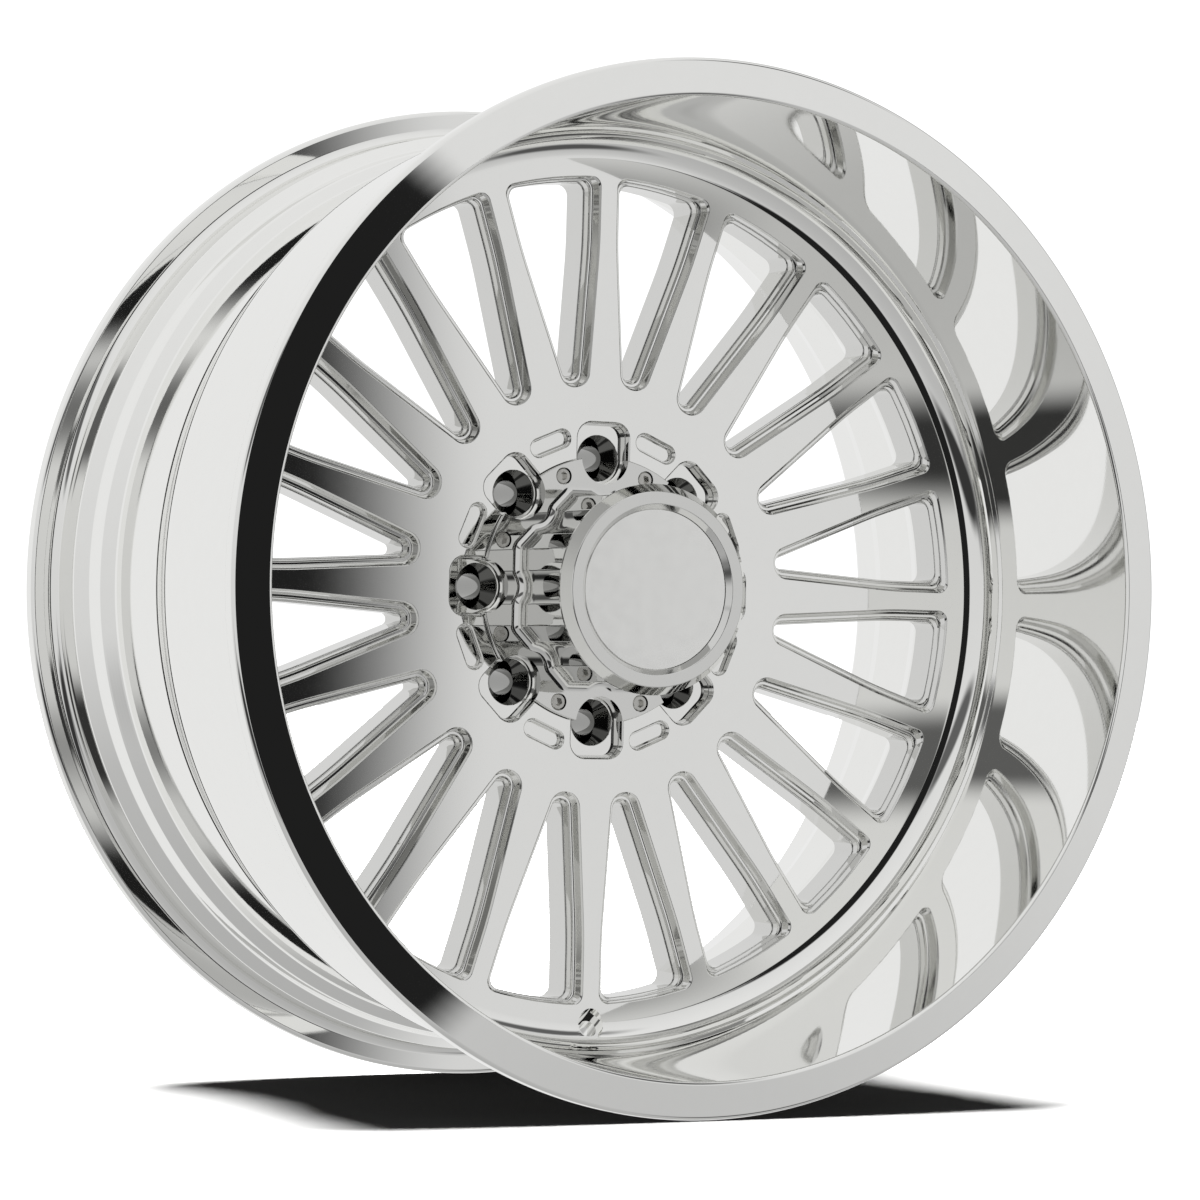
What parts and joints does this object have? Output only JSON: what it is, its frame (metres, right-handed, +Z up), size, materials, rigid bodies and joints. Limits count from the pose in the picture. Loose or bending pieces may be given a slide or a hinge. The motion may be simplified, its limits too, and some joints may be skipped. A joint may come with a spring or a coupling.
{
  "type": "forged wheel",
  "caption": "One-piece forged deep-dish wheel with slim radial spokes, a lug-bolt hub and a tall fluted bolt-on hub cap.",
  "frame": {"origin": "centre of the whole wheel, on its axis, midway between the front and rear faces", "axes": "wheel axis along Y, outboard face towards -Y, +Y inboard to the hub; +Z up with one lug hole at the top and the valve hole at the bottom; +X to the right seen from the front"},
  "size_m": [0.6494, 0.3327, 0.6494],
  "materials": {
    "wheel_polished_aluminium": "mirror polished forged aluminium",
    "cap_polished_aluminium": "mirror polished machined aluminium",
    "plate_satin_aluminium": "fine turned aluminium, nearly mirror",
    "screw_steel": "polished stainless steel"
  },
  "bodies": {
    "root": {"forged_wheel": "wheel_polished_aluminium", "cap_body": "cap_polished_aluminium", "cap_face_plate": "plate_satin_aluminium", "cap_screw_1": "screw_steel", "cap_screw_2": "screw_steel", "cap_screw_3": "screw_steel", "cap_screw_4": "screw_steel", "cap_screw_5": "screw_steel", "cap_screw_6": "screw_steel", "cap_screw_7": "screw_steel", "cap_screw_8": "screw_steel"}
  },
  "joints": []
}
